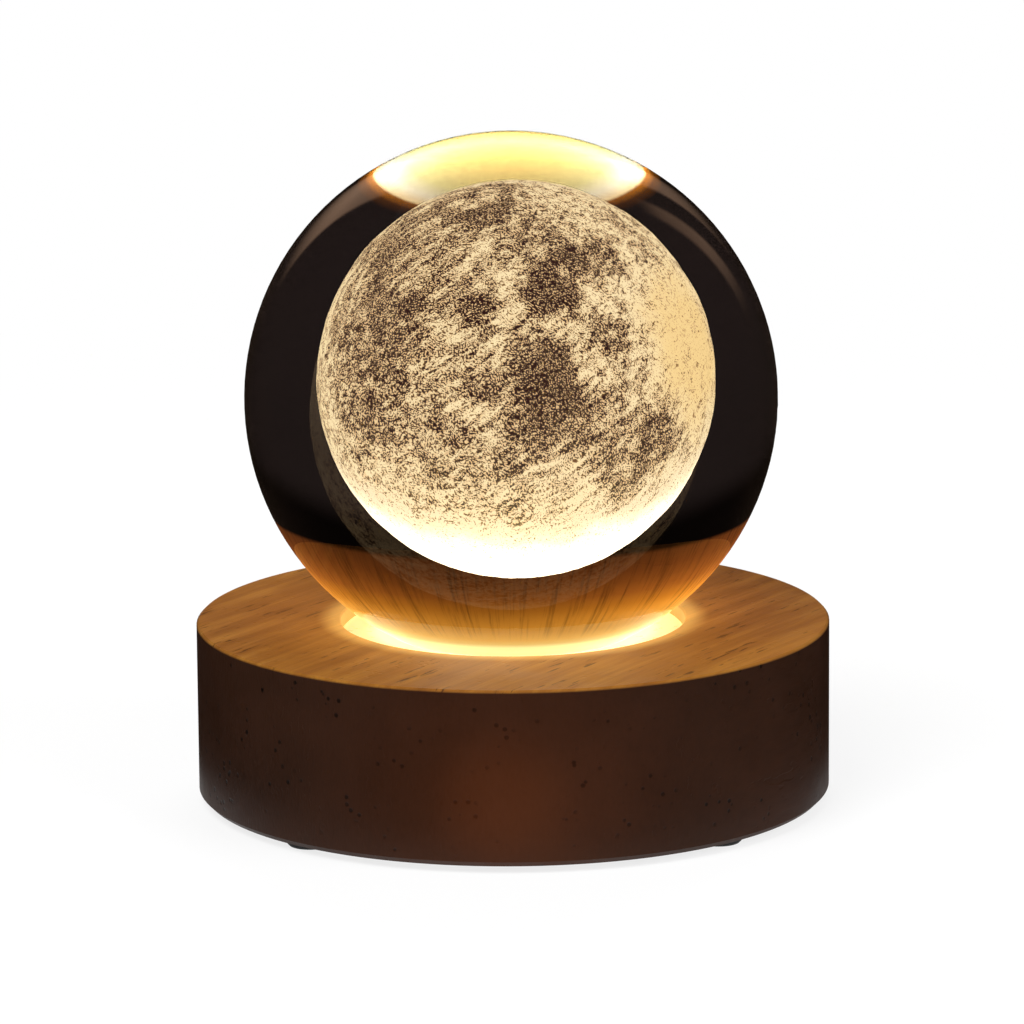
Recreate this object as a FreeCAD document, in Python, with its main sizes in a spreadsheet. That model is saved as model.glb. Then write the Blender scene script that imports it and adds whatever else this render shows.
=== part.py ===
import FreeCAD, Part
import math
import os

import Sketcher

# Table lamp: a clear ball, engraved inside with a moon, rests on a soft seat ring in the top of a
# turned round wooden base. A light board under a frosted disc shines up into the ball. The base's
# back has a power socket in a plug well and a round push-button switch; a plastic cover closes it
# from below. Millimetres. +Z is up, the origin is on the table under the middle of the base, and
# the socket is on the +Y side.

# Driving sizes. Every other size follows from these through the expressions below.
SIZES = {
    "ball_diameter": 80.0,
    "ball_sink": 6.4,  # lowest point of the ball below the wooden top
    "moon_diameter": 39.8,
    "moon_rise": 2.0,  # the moon's middle above the ball's
    "moon_aside": 0.55,  # and to the right of it
    "wood_diameter": 95.5,
    "wood_height": 26.3,
    "stand_off": 1.0,  # what the feet lift the wood off the table
    "top_bevel": 0.4,
    "bottom_bevel": 0.8,
    "recess_bevel": 0.25,
    "recess_diameter": 52.0,
    "recess_depth": 3.4,
    "bore_diameter": 36.0,  # lamp well below the recess
    "bore_depth": 7.3,
    "web_thickness": 3.1,  # wood left between the lamp well and the cavity under it
    "web_hole_diameter": 6.0,
    "rim_width": 9.75,  # wood outside the bottom cover
    "ledge_width": 5.0,  # step that the bottom cover is screwed to, round the cavity
    "seat_thickness": 1.55,
    "seat_contact_diameter": 34.8,  # circle on which the ball touches the seat's cone
    "seat_bore_diameter": 33.2,
    "seat_chamfer": 0.4,
    "seat_fit": 0.05,  # running clearance of the seat ring and of the ball on it
    "board_thickness": 1.0,
    "board_margin": 0.6,  # radial gap of board, light ring and diffuser to the lamp well
    "led_circle": 18.0,
    "led_length": 3.5,
    "led_width": 2.8,
    "led_height": 0.7,
    "lens_length": 2.4,
    "lens_width": 2.0,
    "lens_height": 0.1,
    "resistor_length": 2.0,
    "resistor_width": 1.25,
    "resistor_height": 0.5,
    "resistor_pitch": 2.4,
    "light_ring_height": 1.8,
    "light_ring_opening": 24.4,  # at the board
    "light_ring_ledge": 1.6,  # flat top that carries the diffuser
    "light_ring_lip": 0.3,
    "diffuser_thickness": 1.0,
    "diffuser_chamfer": 0.2,
    "socket_height": 9.0,  # middle of the power socket above the table
    "socket_width": 8.94,
    "socket_tall": 3.26,
    "socket_wall": 0.3,
    "socket_length": 7.3,
    "socket_block": 2.0,  # moulded block that closes the shell's inner end
    "tongue_width": 6.7,
    "tongue_thickness": 0.7,
    "tongue_set_back": 0.7,
    "well_width": 13.0,
    "well_tall": 7.4,
    "well_corner": 1.6,
    "well_depth": 8.25,
    "bezel_thickness": 1.2,
    "bezel_gap": 0.1,
    "slot_gap": 0.18,
    "bay_width": 19.0,
    "well_wall": 3.1,  # wood between the plug well and the socket board's bay
    "bay_depth": 11.4,
    "socket_board_width": 16.0,
    "socket_board_length": 12.0,
    "socket_board_thickness": 1.2,
    "post_diameter": 3.2,
    "post_spacing": 10.0,
    "post_set_back": 8.9,  # from the bay's wall to the middle of a post
    "switch_height": 10.0,
    "switch_flat_depth": 0.85,  # of the flat that the switch's flange sits on
    "barrel_diameter": 8.0,
    "barrel_length": 17.4,  # behind the flange
    "barrel_gap": 0.1,
    "flange_diameter": 11.2,
    "flange_thickness": 1.3,
    "flange_chamfer": 0.4,
    "flange_gap": 0.6,
    "neck_diameter": 6.2,
    "neck_length": 6.7,
    "cap_fit": 0.08,
    "cap_proud": 2.2,
    "cap_edge": 0.7,
    "cap_flange_diameter": 6.8,
    "cap_flange_length": 1.5,
    "cap_travel": 1.5,
    "cap_end_gap": 0.5,
    "chamber_diameter": 7.0,
    "nut_across_flats": 10.0,
    "nut_thickness": 2.0,
    "switch_wall": 6.9,  # wood between the switch's flange and its nut
    "nut_room": 12.4,
    "terminal_width": 2.0,
    "terminal_thickness": 0.6,
    "terminal_length": 4.6,
    "terminal_spacing": 3.6,
    "cover_thickness": 2.0,
    "cover_gap": 0.3,
    "cover_chamfer": 0.3,
    "cover_screw_inset": 3.0,  # from the rebate's wall to a screw's axis
    "cover_screw_head": 3.8,
    "cover_screw_cone": 1.0,
    "cover_screw_shank": 2.0,
    "cover_screw_length": 7.5,
    "foot_diameter": 7.0,
    "foot_set_in": 5.35,  # from the wood's side to a foot's axis
    "foot_inset": 1.0,  # depth of a foot in the wood
    "foot_chamfer": 0.3,
    "lead_diameter": 1.1,
    "lead_bend": 2.2,
    "lead_lift": 0.02,
    "solder_gap": 0.15,
    "lead_loop": 11.8,  # how far the socket's lead runs inwards before it turns back
}

SWITCH_TURN = 32.0  # degrees from the back towards +X
LED_COUNT = 6
RESISTOR_COUNT = 3
FOOT_COUNT = 4
FOOT_FIRST = 45.0
COVER_SCREW_COUNT = 3
COVER_SCREW_FIRST = 30.0

# Levels above the table.
WOOD_TOP = "(dims.stand_off + dims.wood_height)"
RECESS_FLOOR = f"({WOOD_TOP} - dims.recess_depth)"
BORE_FLOOR = f"({RECESS_FLOOR} - dims.bore_depth)"
CAVITY_ROOF = f"({BORE_FLOOR} - dims.web_thickness)"
LEDGE = "(dims.stand_off + dims.cover_thickness)"
BALL_RADIUS = "(dims.ball_diameter / 2)"
BALL_CENTRE = f"({WOOD_TOP} - dims.ball_sink + {BALL_RADIUS})"
BOARD_TOP = f"({BORE_FLOOR} + dims.board_thickness)"
LED_TOP = f"({BOARD_TOP} + dims.led_height)"
LIGHT_RING_TOP = f"({BOARD_TOP} + dims.light_ring_height)"
DIFFUSER_TOP = f"({LIGHT_RING_TOP} + dims.diffuser_thickness)"
SEAT_BOTTOM = f"({RECESS_FLOOR} + dims.seat_fit)"
SEAT_TOP = f"({SEAT_BOTTOM} + dims.seat_thickness)"
SOCKET_BOARD_TOP = "(dims.socket_height - dims.socket_tall / 2)"
SOCKET_BOARD_BOTTOM = f"({SOCKET_BOARD_TOP} - dims.socket_board_thickness)"

# Distances from the axis.
WOOD_RADIUS = "(dims.wood_diameter / 2)"
RECESS_RADIUS = "(dims.recess_diameter / 2)"
BORE_RADIUS = "(dims.bore_diameter / 2)"
INSERT_RADIUS = f"({BORE_RADIUS} - dims.board_margin)"
REBATE_RADIUS = f"({WOOD_RADIUS} - dims.rim_width)"
CAVITY_RADIUS = f"({REBATE_RADIUS} - dims.ledge_width)"
COVER_SCREW_REACH = f"({REBATE_RADIUS} - dims.cover_screw_inset)"
FOOT_REACH = f"({WOOD_RADIUS} - dims.foot_set_in)"
WELL_FLOOR = f"({WOOD_RADIUS} - dims.well_depth)"
BAY_REACH = f"({WELL_FLOOR} - dims.well_wall)"
BAY_START = f"({BAY_REACH} - dims.bay_depth)"
SOCKET_MOUTH = f"({WELL_FLOOR} + dims.bezel_thickness)"
SOCKET_BACK = f"({SOCKET_MOUTH} - dims.socket_length)"
BLOCK_FRONT = f"({SOCKET_BACK} + dims.socket_block)"
TONGUE_END = f"({SOCKET_MOUTH} - dims.tongue_set_back)"
SWITCH_FACE = f"({WOOD_RADIUS} - dims.switch_flat_depth)"
NUT_SEAT = f"({SWITCH_FACE} - dims.switch_wall)"
FLANGE_FRONT = f"({SWITCH_FACE} + dims.flange_thickness)"
BARREL_BACK = f"({SWITCH_FACE} - dims.barrel_length)"
NECK_BACK = f"({FLANGE_FRONT} - dims.neck_length)"
CAP_FRONT = f"({FLANGE_FRONT} + dims.cap_proud)"
CAP_SHOULDER = f"({NECK_BACK} - dims.cap_fit)"
CAP_BACK = f"({CAP_SHOULDER} - dims.cap_flange_length)"
CHAMBER_BACK = f"({CAP_BACK} - dims.cap_travel - dims.cap_end_gap)"

# The seat's cone is tangent to the ball, one running clearance outside it.
SEAT_CONTACT = "(dims.seat_contact_diameter / 2)"
SEAT_DROP = f"sqrt({BALL_RADIUS}^2 - {SEAT_CONTACT}^2)"
SEAT_SLOPE = f"({SEAT_CONTACT} / {SEAT_DROP})"
SEAT_LEVEL = f"({BALL_CENTRE} - {SEAT_DROP} - dims.seat_fit * {BALL_RADIUS} / {SEAT_DROP})"
SEAT_BORE = "(dims.seat_bore_diameter / 2)"
SEAT_INNER_LEVEL = f"({SEAT_LEVEL} - ({SEAT_CONTACT} - {SEAT_BORE}) * {SEAT_SLOPE})"
SEAT_MOUTH = f"({SEAT_CONTACT} + ({SEAT_TOP} - {SEAT_LEVEL}) / {SEAT_SLOPE})"

CLOSE = 1e-4
LEAST_CUT = 0.05  # a cut that removes less than this, in cubic millimetres, has missed the wood

doc = FreeCAD.newDocument("MoonLamp")
dims = doc.addObject("Spreadsheet::Sheet", "dims")
for row, (alias, number) in enumerate(SIZES.items(), start=1):
    dims.set(f"A{row}", alias)
    dims.set(f"B{row}", str(number))
    dims.setAlias(f"B{row}", alias)
doc.recompute()
sub_parts = []


def value(expression):
    """The number that an expression gives with the sheet's present sizes."""
    return float(dims.evalExpression(str(expression)))


def new_body(name, turn=0.0, reach=None, lift=None):
    """A sub-part's body, turned about Z by some degrees and moved out along X and up."""
    body = doc.addObject("PartDesign::Body", name)
    body.Label = name
    axis = FreeCAD.Vector(0, 0, 1)
    body.Placement = FreeCAD.Placement(FreeCAD.Vector(0, 0, 0), FreeCAD.Rotation(axis, turn))
    if reach:
        body.setExpression("Placement.Base.x", f"{reach} * {math.cos(math.radians(turn)):.12f}")
        body.setExpression("Placement.Base.y", f"{reach} * {math.sin(math.radians(turn)):.12f}")
    if lift:
        body.setExpression("Placement.Base.z", lift)
    sub_parts.append(body)
    return body


def origin_feature(body, role):
    return next(item for item in body.Origin.OriginFeatures if item.Role == role)


def new_sketch(body, name, plane, level="0"):
    """A sketch on one of the body's own planes, moved along the plane's normal to a level."""
    sketch = body.newObject("Sketcher::SketchObject", name)
    sketch.AttachmentSupport = (origin_feature(body, plane), [""])
    sketch.MapMode = "FlatFace"
    sketch.setExpression("AttachmentOffset.Base.z", level)
    return sketch


def rear_sketch(body, name, reach, turn=0.0):
    """An upright sketch that faces the axis from a distance, turned from the back towards +X."""
    sketch = new_sketch(body, name, "XZ_Plane", f"-{reach} * cos({turn})")
    sketch.AttachmentOffset = FreeCAD.Placement(
        FreeCAD.Vector(0, 0, 0), FreeCAD.Rotation(FreeCAD.Vector(0, 1, 0), -turn)
    )
    sketch.setExpression("AttachmentOffset.Base.x", f"{reach} * sin({turn})")
    return sketch


def pin(sketch, geometry, point, x, y):
    """Hold a point of the sketch at two expressions, measured from the sketch's origin."""
    for kind, expression in (("DistanceX", x), ("DistanceY", y)):
        index = sketch.addConstraint(
            Sketcher.Constraint(kind, -1, 1, geometry, point, value(expression))
        )
        sketch.setExpression(f"Constraints[{index}]", str(expression))


def outline(sketch, points):
    """A closed outline of straight lines through points given as expressions."""
    spots = [FreeCAD.Vector(value(x), value(y), 0) for x, y in points]
    first = sketch.GeometryCount
    count = len(points)
    for index in range(count):
        sketch.addGeometry(Part.LineSegment(spots[index], spots[(index + 1) % count]), False)
    for index in range(count):
        after = first + (index + 1) % count
        sketch.addConstraint(Sketcher.Constraint("Coincident", first + index, 2, after, 1))
    for index, (x, y) in enumerate(points):
        pin(sketch, first + index, 1, x, y)


def box_outline(sketch, width, height, x="0", y="0"):
    """A rectangle about a middle point."""
    left, right = f"({x} - {width} / 2)", f"({x} + {width} / 2)"
    low, high = f"({y} - {height} / 2)", f"({y} + {height} / 2)"
    outline(sketch, [(left, low), (right, low), (right, high), (left, high)])


def circle_outline(sketch, diameter, x="0", y="0"):
    middle = FreeCAD.Vector(value(x), value(y), 0)
    up = FreeCAD.Vector(0, 0, 1)
    circle = sketch.addGeometry(Part.Circle(middle, up, value(diameter) / 2), False)
    index = sketch.addConstraint(Sketcher.Constraint("Diameter", circle, value(diameter)))
    sketch.setExpression(f"Constraints[{index}]", diameter)
    pin(sketch, circle, 3, x, y)


def rounded_outline(sketch, width, height, corner, y="0"):
    """A rectangle with round corners, or a slot where the corners take its whole height."""
    across, up = f"({width} / 2 - {corner})", f"({height} / 2 - {corner})"
    radius = value(corner)
    is_slot = value(up) < CLOSE
    signs = [(1, 1), (-1, 1), (-1, -1), (1, -1)]
    starts = [0, 90, 180, 270]
    if is_slot:
        signs = [(1, 0), (-1, 0)]
        starts = [-90, 90]
    sweep = 180 if is_slot else 90
    normal = FreeCAD.Vector(0, 0, 1)
    arcs = []
    for (side, rise), start in zip(signs, starts):
        middle = FreeCAD.Vector(side * value(across), value(y) + rise * value(up), 0)
        circle = Part.Circle(middle, normal, radius)
        first, last = math.radians(start), math.radians(start + sweep)
        arcs.append(sketch.addGeometry(Part.ArcOfCircle(circle, first, last), False))
    for index, arc in enumerate(arcs):
        following = arcs[(index + 1) % len(arcs)]
        begin, end = sketch.getPoint(arc, 2), sketch.getPoint(following, 1)
        line = sketch.addGeometry(Part.LineSegment(begin, end), False)
        sketch.addConstraint(Sketcher.Constraint("Tangent", arc, 2, line, 1))
        sketch.addConstraint(Sketcher.Constraint("Tangent", line, 2, following, 1))
    for (side, rise), arc in zip(signs, arcs):
        level = f"({y} + {rise} * {up})" if rise else y
        pin(sketch, arc, 3, f"({side} * {across})", level)
    index = sketch.addConstraint(Sketcher.Constraint("Radius", arcs[0], radius))
    sketch.setExpression(f"Constraints[{index}]", corner)


def turned(body, points, name="Turned"):
    """A solid of revolution about the sketch's upright axis."""
    plane = "XY_Plane" if name == "TurnedOutward" else "XZ_Plane"
    sketch = new_sketch(body, f"{name}Profile", plane)
    outline(sketch, points)
    feature = body.newObject("PartDesign::Revolution", name)
    feature.Profile = sketch
    feature.ReferenceAxis = (sketch, ["V_Axis"])
    feature.Angle = 360
    return feature


def padded(body, sketch, length, name="Plate", backwards=False):
    feature = body.newObject("PartDesign::Pad", name)
    feature.Profile = sketch
    feature.setExpression("Length", length)
    feature.Reversed = backwards
    return feature


def pocketed(body, sketch, length, name, backwards=False):
    """A cut against the sketch's normal, or along it when backwards; it has to remove material."""
    doc.recompute()
    before = body.Shape.Volume
    feature = body.newObject("PartDesign::Pocket", name)
    feature.Profile = sketch
    feature.setExpression("Length", length)
    feature.Reversed = backwards
    doc.recompute()
    if before - body.Shape.Volume < LEAST_CUT:
        raise RuntimeError(f"{name} cuts nothing from {body.Label}")
    return feature


def around(body, feature, count, name):
    """Repeat a feature about the body's Z axis."""
    pattern = body.newObject("PartDesign::PolarPattern", name)
    pattern.Originals = [feature]
    pattern.Axis = (origin_feature(body, "Z_Axis"), [""])
    pattern.Angle = 360
    pattern.Occurrences = count
    body.Tip = pattern
    doc.recompute()


def round_edges(body, diameter, level, axis="z"):
    """Names of the body's circular edges of one diameter at one level along an axis."""
    doc.recompute()
    names = []
    for index, edge in enumerate(body.Tip.Shape.Edges, start=1):
        if edge.Curve.TypeId != "Part::GeomCircle":
            continue
        same_size = abs(edge.Curve.Radius - value(diameter) / 2) < CLOSE
        if same_size and abs(getattr(edge.Curve.Center, axis) - value(level)) < CLOSE:
            names.append(f"Edge{index}")
    return names


def bevelled(body, names, size, name):
    """A chamfer on named edges of the body's last feature."""
    base = body.Tip
    feature = body.newObject("PartDesign::Chamfer", name)
    feature.Base = (base, names)
    feature.setExpression("Size", size)


def build_wood_base():
    """The turned block: recess and lamp well above, cavity and cover rebate below."""
    body = new_body("wood_base")
    hole = "(dims.web_hole_diameter / 2)"
    turned(body, [
        (hole, CAVITY_ROOF),
        (CAVITY_RADIUS, CAVITY_ROOF),
        (CAVITY_RADIUS, LEDGE),
        (REBATE_RADIUS, LEDGE),
        (REBATE_RADIUS, "dims.stand_off"),
        (WOOD_RADIUS, "dims.stand_off"),
        (WOOD_RADIUS, WOOD_TOP),
        (RECESS_RADIUS, WOOD_TOP),
        (RECESS_RADIUS, RECESS_FLOOR),
        (BORE_RADIUS, RECESS_FLOOR),
        (BORE_RADIUS, BORE_FLOOR),
        (hole, BORE_FLOOR),
    ])
    bevelled(body, round_edges(body, "dims.wood_diameter", WOOD_TOP), "dims.top_bevel", "TopBevel")
    low_edge = round_edges(body, "dims.wood_diameter", "dims.stand_off")
    bevelled(body, low_edge, "dims.bottom_bevel", "BottomBevel")
    recess_edge = round_edges(body, "dims.recess_diameter", WOOD_TOP)
    bevelled(body, recess_edge, "dims.recess_bevel", "RecessBevel")

    bay = new_sketch(body, "BayOutline", "XY_Plane", CAVITY_ROOF)
    box_outline(bay, "dims.bay_width", "dims.bay_depth", "0", f"({BAY_REACH} - dims.bay_depth / 2)")
    pocketed(body, bay, f"{CAVITY_ROOF} - dims.stand_off", "SocketBay")

    well = rear_sketch(body, "PlugWellOutline", WELL_FLOOR)
    rounded_outline(well, "dims.well_width", "dims.well_tall", "dims.well_corner", "dims.socket_height")
    pocketed(body, well, "dims.well_depth + 1", "PlugWell")

    slot = rear_sketch(body, "SocketSlotOutline", BAY_START)
    slot_tall = "(dims.socket_tall + 2 * dims.slot_gap)"
    slot_width = "(dims.socket_width + 2 * dims.slot_gap)"
    rounded_outline(slot, slot_width, slot_tall, f"({slot_tall} / 2)", "dims.socket_height")
    pocketed(body, slot, f"{WELL_FLOOR} - {BAY_START} + 1", "SocketSlot")

    flat = rear_sketch(body, "SwitchFlatOutline", SWITCH_FACE, SWITCH_TURN)
    circle_outline(flat, "(dims.flange_diameter + 2 * dims.flange_gap)", "0", "dims.switch_height")
    pocketed(body, flat, "dims.switch_flat_depth + 1", "SwitchFlat")

    hole_start = f"({CAVITY_RADIUS} - dims.barrel_diameter / 2)"
    bore = rear_sketch(body, "SwitchHoleOutline", hole_start, SWITCH_TURN)
    circle_outline(bore, "(dims.barrel_diameter + 2 * dims.barrel_gap)", "0", "dims.switch_height")
    pocketed(body, bore, f"{SWITCH_FACE} - {hole_start} + 1", "SwitchHole")

    room = rear_sketch(body, "NutRoomOutline", hole_start, SWITCH_TURN)
    circle_outline(room, "dims.nut_room", "0", "dims.switch_height")
    pocketed(body, room, f"{NUT_SEAT} - {hole_start}", "NutRoom")

    foot = new_sketch(body, "FootSocketOutline", "XY_Plane", "dims.stand_off")
    foot_x = f"({FOOT_REACH} * cos({FOOT_FIRST}))"
    foot_y = f"({FOOT_REACH} * sin({FOOT_FIRST}))"
    circle_outline(foot, "dims.foot_diameter", foot_x, foot_y)
    socket = pocketed(body, foot, "dims.foot_inset", "FootSocket", backwards=True)
    around(body, socket, FOOT_COUNT, "FootSockets")

    pilot = new_sketch(body, "CoverPilotOutline", "XY_Plane", LEDGE)
    pilot_x = f"({COVER_SCREW_REACH} * cos({COVER_SCREW_FIRST}))"
    pilot_y = f"({COVER_SCREW_REACH} * sin({COVER_SCREW_FIRST}))"
    circle_outline(pilot, "dims.cover_screw_shank", pilot_x, pilot_y)
    pilot_depth = "dims.cover_screw_length - dims.cover_thickness"
    first_pilot = pocketed(body, pilot, pilot_depth, "CoverPilot", backwards=True)
    around(body, first_pilot, COVER_SCREW_COUNT, "CoverPilots")


def build_seat_ring():
    """The soft clear ring that the ball rests on, loose in the recess."""
    body = new_body("seat_ring")
    rim = f"({RECESS_RADIUS} - dims.seat_fit)"
    turned(body, [
        (SEAT_BORE, SEAT_BOTTOM),
        (rim, SEAT_BOTTOM),
        (rim, f"({SEAT_TOP} - dims.seat_chamfer)"),
        (f"({rim} - dims.seat_chamfer)", SEAT_TOP),
        (SEAT_MOUTH, SEAT_TOP),
        (SEAT_BORE, SEAT_INNER_LEVEL),
    ])


def build_crystal_ball():
    """The ball and the engraved moon that fills the hollow inside it."""
    moon = doc.addObject("Part::Sphere", "engraved_moon")
    moon.Label = "engraved_moon"
    moon.setExpression("Radius", "dims.moon_diameter / 2")
    moon.setExpression("Placement.Base.x", "dims.moon_aside")
    moon.setExpression("Placement.Base.z", f"{BALL_CENTRE} + dims.moon_rise")
    outside = doc.addObject("Part::Sphere", "ball_outside")
    outside.setExpression("Radius", BALL_RADIUS)
    outside.setExpression("Placement.Base.z", BALL_CENTRE)
    ball = doc.addObject("Part::Cut", "crystal_ball")
    ball.Label = "crystal_ball"
    ball.Base = outside
    ball.Tool = moon
    sub_parts.extend([ball, moon])


def build_led_board():
    body = new_body("led_board")
    disc = new_sketch(body, "BoardOutline", "XY_Plane", BORE_FLOOR)
    circle_outline(disc, f"(2 * {INSERT_RADIUS})")
    padded(body, disc, "dims.board_thickness")


def build_chip(name, length, width, height, level, turn=0.0, reach=None):
    """A small block on the board, its length across the radius."""
    body = new_body(name, turn, reach, level)
    base = new_sketch(body, "ChipOutline", "XY_Plane")
    box_outline(base, width, length)
    padded(body, base, height, "Chip")


def build_light_sources():
    for index in range(LED_COUNT):
        turn = 360.0 * (index + 0.5) / LED_COUNT
        reach = "(dims.led_circle / 2)"
        led = f"led_{index + 1}"
        build_chip(led, "dims.led_length", "dims.led_width", "dims.led_height", BOARD_TOP, turn, reach)
        lens = f"led_lens_{index + 1}"
        build_chip(lens, "dims.lens_length", "dims.lens_width", "dims.lens_height", LED_TOP, turn, reach)


def build_resistors():
    for index in range(RESISTOR_COUNT):
        place = index - (RESISTOR_COUNT - 1) / 2
        body = new_body(f"resistor_{index + 1}", 0.0, None, BOARD_TOP)
        body.setExpression("Placement.Base.y", f"dims.resistor_pitch * {place}")
        base = new_sketch(body, "ChipOutline", "XY_Plane")
        box_outline(base, "dims.resistor_length", "dims.resistor_width")
        padded(body, base, "dims.resistor_height", "Chip")


def build_light_ring():
    """The white spacer whose slanting inner wall throws the light up at the diffuser."""
    body = new_body("light_ring")
    opening = "(dims.light_ring_opening / 2)"
    turned(body, [
        (opening, BOARD_TOP),
        (INSERT_RADIUS, BOARD_TOP),
        (INSERT_RADIUS, LIGHT_RING_TOP),
        (f"({INSERT_RADIUS} - dims.light_ring_ledge)", LIGHT_RING_TOP),
        (opening, f"({BOARD_TOP} + dims.light_ring_lip)"),
    ])


def build_diffuser_disc():
    body = new_body("diffuser_disc")
    inner = f"({INSERT_RADIUS} - dims.diffuser_chamfer)"
    turned(body, [
        ("0", LIGHT_RING_TOP),
        (INSERT_RADIUS, LIGHT_RING_TOP),
        (INSERT_RADIUS, f"({DIFFUSER_TOP} - dims.diffuser_chamfer)"),
        (inner, DIFFUSER_TOP),
        ("0", DIFFUSER_TOP),
    ])


def build_socket():
    """The power socket: bezel on the plug well's floor, metal shell, moulded tongue, its board."""
    corner = "(dims.socket_tall / 2)"
    bezel = new_body("socket_bezel")
    plate = rear_sketch(bezel, "BezelOutline", WELL_FLOOR)
    plate_width = "(dims.well_width - 2 * dims.bezel_gap)"
    plate_tall = "(dims.well_tall - 2 * dims.bezel_gap)"
    plate_corner = "(dims.well_corner - dims.bezel_gap)"
    rounded_outline(plate, plate_width, plate_tall, plate_corner, "dims.socket_height")
    rounded_outline(plate, "dims.socket_width", "dims.socket_tall", corner, "dims.socket_height")
    padded(bezel, plate, "dims.bezel_thickness", backwards=True)

    shell = new_body("socket_shell")
    tube = rear_sketch(shell, "ShellOutline", SOCKET_BACK)
    rounded_outline(tube, "dims.socket_width", "dims.socket_tall", corner, "dims.socket_height")
    inner_width = "(dims.socket_width - 2 * dims.socket_wall)"
    inner_tall = "(dims.socket_tall - 2 * dims.socket_wall)"
    rounded_outline(tube, inner_width, inner_tall, f"({inner_tall} / 2)", "dims.socket_height")
    padded(shell, tube, "dims.socket_length", "Tube", backwards=True)

    tongue = new_body("socket_tongue")
    block = rear_sketch(tongue, "BlockOutline", SOCKET_BACK)
    rounded_outline(block, inner_width, inner_tall, f"({inner_tall} / 2)", "dims.socket_height")
    padded(tongue, block, "dims.socket_block", "Block", backwards=True)
    blade = rear_sketch(tongue, "BladeOutline", BLOCK_FRONT)
    box_outline(blade, "dims.tongue_width", "dims.tongue_thickness", "0", "dims.socket_height")
    padded(tongue, blade, f"{TONGUE_END} - {BLOCK_FRONT}", "Blade", backwards=True)

    board = new_body("socket_board")
    base = new_sketch(board, "BoardOutline", "XY_Plane", SOCKET_BOARD_BOTTOM)
    edge_gap = "dims.slot_gap"
    middle = f"({BAY_REACH} - {edge_gap} - dims.socket_board_length / 2)"
    box_outline(base, "dims.socket_board_width", "dims.socket_board_length", "0", middle)
    padded(board, base, "dims.socket_board_thickness")


def switch_body(name):
    return new_body(name, -SWITCH_TURN, None, "dims.switch_height")


def build_switch():
    """The push-button switch: barrel through the wall, nut inside, two terminals, moving cap."""
    barrel = switch_body("switch_barrel")
    radius = "(dims.barrel_diameter / 2)"
    flange = "(dims.flange_diameter / 2)"
    neck = "(dims.neck_diameter / 2)"
    chamber = "(dims.chamber_diameter / 2)"
    turned(barrel, [
        ("0", BARREL_BACK),
        (radius, BARREL_BACK),
        (radius, SWITCH_FACE),
        (flange, SWITCH_FACE),
        (flange, f"({FLANGE_FRONT} - dims.flange_chamfer)"),
        (f"({flange} - dims.flange_chamfer)", FLANGE_FRONT),
        (neck, FLANGE_FRONT),
        (neck, NECK_BACK),
        (chamber, NECK_BACK),
        (chamber, CHAMBER_BACK),
        ("0", CHAMBER_BACK),
    ], "TurnedOutward")

    cap = switch_body("button_cap")
    cap_radius = "(dims.neck_diameter / 2 - dims.cap_fit)"
    shoulder = "(dims.cap_flange_diameter / 2)"
    turned(cap, [
        ("0", CAP_BACK),
        (shoulder, CAP_BACK),
        (shoulder, CAP_SHOULDER),
        (cap_radius, CAP_SHOULDER),
        (cap_radius, CAP_FRONT),
        ("0", CAP_FRONT),
    ], "TurnedOutward")
    front = round_edges(cap, f"(2 * {cap_radius})", CAP_FRONT, "y")
    bevelled(cap, front, "dims.cap_edge", "FrontBevel")

    nut = switch_body("switch_nut")
    face = rear_sketch(nut, "NutOutline", NUT_SEAT)
    corner = "(dims.nut_across_flats / 2 / cos(30))"
    spokes = [(f"({corner} * cos({turn}))", f"({corner} * sin({turn}))") for turn in range(0, 360, 60)]
    outline(face, spokes)
    circle_outline(face, "dims.barrel_diameter")
    padded(nut, face, "dims.nut_thickness", "Nut")

    for number, side in ((1, -1), (2, 1)):
        terminal = switch_body(f"switch_terminal_{number}")
        root = rear_sketch(terminal, "TerminalOutline", BARREL_BACK)
        place = f"({side} * dims.terminal_spacing / 2)"
        box_outline(root, "dims.terminal_thickness", "dims.terminal_width", place)
        padded(terminal, root, "dims.terminal_length", "Blade")


def build_bottom_cover():
    """The plastic disc that closes the cavity, with two posts under the socket board."""
    body = new_body("bottom_cover")
    rim = f"(2 * {REBATE_RADIUS} - 2 * dims.cover_gap)"
    disc = new_sketch(body, "CoverOutline", "XY_Plane", "dims.stand_off")
    circle_outline(disc, rim)
    padded(body, disc, "dims.cover_thickness")
    bevelled(body, round_edges(body, rim, "dims.stand_off"), "dims.cover_chamfer", "CoverBevel")
    posts = new_sketch(body, "PostOutlines", "XY_Plane", LEDGE)
    for side in (-1, 1):
        place = f"({side} * dims.post_spacing / 2)"
        circle_outline(posts, "dims.post_diameter", place, f"({BAY_REACH} - dims.post_set_back)")
    padded(body, posts, f"{SOCKET_BOARD_BOTTOM} - {LEDGE}", "Posts")
    doc.recompute()

    # One countersunk hole is a groove about the screw's own axis, repeated about the cover's.
    side = f"({COVER_SCREW_REACH} * cos({COVER_SCREW_FIRST}))"
    back = f"({COVER_SCREW_REACH} * sin({COVER_SCREW_FIRST}))"
    sketch = new_sketch(body, "CountersinkProfile", "XZ_Plane", f"-{back}")
    sketch.setExpression("AttachmentOffset.Base.x", side)
    outline(sketch, screw_profile("dims.stand_off", f"({LEDGE} + 1)"))
    groove = body.newObject("PartDesign::Groove", "Countersink")
    groove.Profile = sketch
    groove.ReferenceAxis = (sketch, ["V_Axis"])
    groove.Angle = 360
    before = body.Shape.Volume
    doc.recompute()
    if before - body.Shape.Volume < LEAST_CUT:
        raise RuntimeError("the countersink cuts nothing")
    around(body, groove, COVER_SCREW_COUNT, "Countersinks")


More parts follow.
